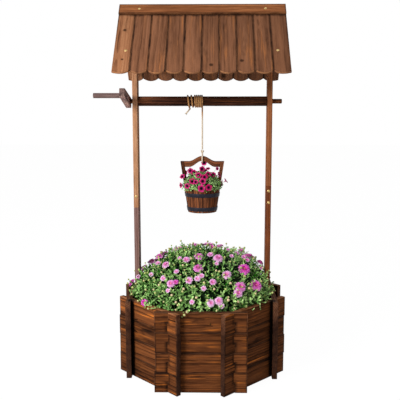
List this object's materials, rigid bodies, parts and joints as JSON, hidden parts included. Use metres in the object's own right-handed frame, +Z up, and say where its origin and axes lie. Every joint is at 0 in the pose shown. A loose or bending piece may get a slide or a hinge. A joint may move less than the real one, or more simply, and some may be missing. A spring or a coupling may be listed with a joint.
{
  "type": "wishing well planter",
  "caption": "Octagonal planter of cross-lapped boards under a pitched roof on two posts, with a crank windlass that raises a small hooped bucket of flowers on a rope.",
  "frame": {"origin": "centre of the planter's footprint on the ground, under the middle floor cleat", "axes": "+Z up along the posts, +X along the roof ridge toward the side away from the crank, +Y toward the back"},
  "size_m": [0.58, 0.5152, 1.1304],
  "materials": {
    "wall_wood": "brown stained softwood, dark grain with orange streaks",
    "roof_wood": "mid-brown stained softwood, weathered along its edges",
    "trim_wood": "orange-brown stained softwood",
    "left_post_wood": "sun-lit stained softwood",
    "right_post_wood": "stained softwood",
    "shaded_wood": "dark stained softwood",
    "weathered_wood": "grey weathered wood, worn by hands",
    "bucket_wood": "reddish-brown staves, satin",
    "hoop_metal": "dark grey painted steel band",
    "rope_fibre": "twisted natural fibre",
    "compost": "moist dark potting compost",
    "foliage": "leaves, stems and small blooms",
    "petunias": "magenta blooms over green leaves"
  },
  "bodies": {
    "root": {"wall_front_board_1": "wall_wood", "wall_front_board_2": "wall_wood", "wall_front_board_3": "wall_wood", "wall_front_board_4": "wall_wood", "wall_front_right_board_1": "wall_wood", "wall_front_right_board_2": "wall_wood", "wall_front_right_board_3": "wall_wood", "wall_front_right_board_4": "wall_wood", "wall_right_board_1": "wall_wood", "wall_right_board_2": "wall_wood", "wall_right_board_3": "wall_wood", "wall_right_board_4": "wall_wood", "wall_back_right_board_1": "wall_wood", "wall_back_right_board_2": "wall_wood", "wall_back_right_board_3": "wall_wood", "wall_back_right_board_4": "wall_wood", "wall_back_board_1": "wall_wood", "wall_back_board_2": "wall_wood", "wall_back_board_3": "wall_wood", "wall_back_board_4": "wall_wood", "wall_back_left_board_1": "wall_wood", "wall_back_left_board_2": "wall_wood", "wall_back_left_board_3": "wall_wood", "wall_back_left_board_4": "wall_wood", "wall_left_board_1": "wall_wood", "wall_left_board_2": "wall_wood", "wall_left_board_3": "wall_wood", "wall_left_board_4": "wall_wood", "wall_front_left_board_1": "wall_wood", "wall_front_left_board_2": "wall_wood", "wall_front_left_board_3": "wall_wood", "wall_front_left_board_4": "wall_wood", "floor_panel": "wall_wood", "left_upper_post": "left_post_wood", "left_lower_post": "left_post_wood", "right_upper_post": "right_post_wood", "right_lower_post": "right_post_wood", "front_roof_panel": "roof_wood", "back_roof_panel": "roof_wood", "front_ridge_cap": "trim_wood", "back_ridge_cap": "trim_wood", "left_gable_frame": "shaded_wood", "right_gable_frame": "shaded_wood", "ridge_beam": "shaded_wood", "planter_soil": "compost", "planter_flowers": "foliage", "rope_fall": "rope_fibre"},
    "windlass": {"windlass_roller": "shaded_wood", "crank_arm": "weathered_wood", "crank_grip": "weathered_wood", "rope_winding": "rope_fibre"},
    "rope_end": {"rope_knot": "rope_fibre"},
    "bucket": {"bucket_tub": "bucket_wood", "bucket_left_ear": "bucket_wood", "bucket_right_ear": "bucket_wood", "bucket_handle": "bucket_wood", "bucket_lower_hoop": "hoop_metal", "bucket_upper_hoop": "hoop_metal", "bucket_flowers": "petunias", "rope_loop": "rope_fibre"}
  },
  "joints": [
    {"name": "windlass_turn", "type": "hinge", "parent": "root", "child": "windlass", "pos_m": [0, 0, 0.84], "axis": [-1, 0, 0], "range_deg": [-225, 325]},
    {"name": "bucket_lift", "type": "slide", "parent": "root", "child": "rope_end", "axis": [0, 0, 1], "range_m": [-0.07, 0.1], "deforming": ["rope_fall"]},
    {"name": "bucket_swing", "type": "hinge", "parent": "rope_end", "child": "bucket", "pos_m": [0, -0.01745, 0.6861], "axis": [1, 0, 0], "range_deg": [-20, 20]}
  ],
  "couplings": [
    {"joint": "bucket_lift", "follows": "windlass_turn", "m_per_rad": 0.01745}
  ]
}
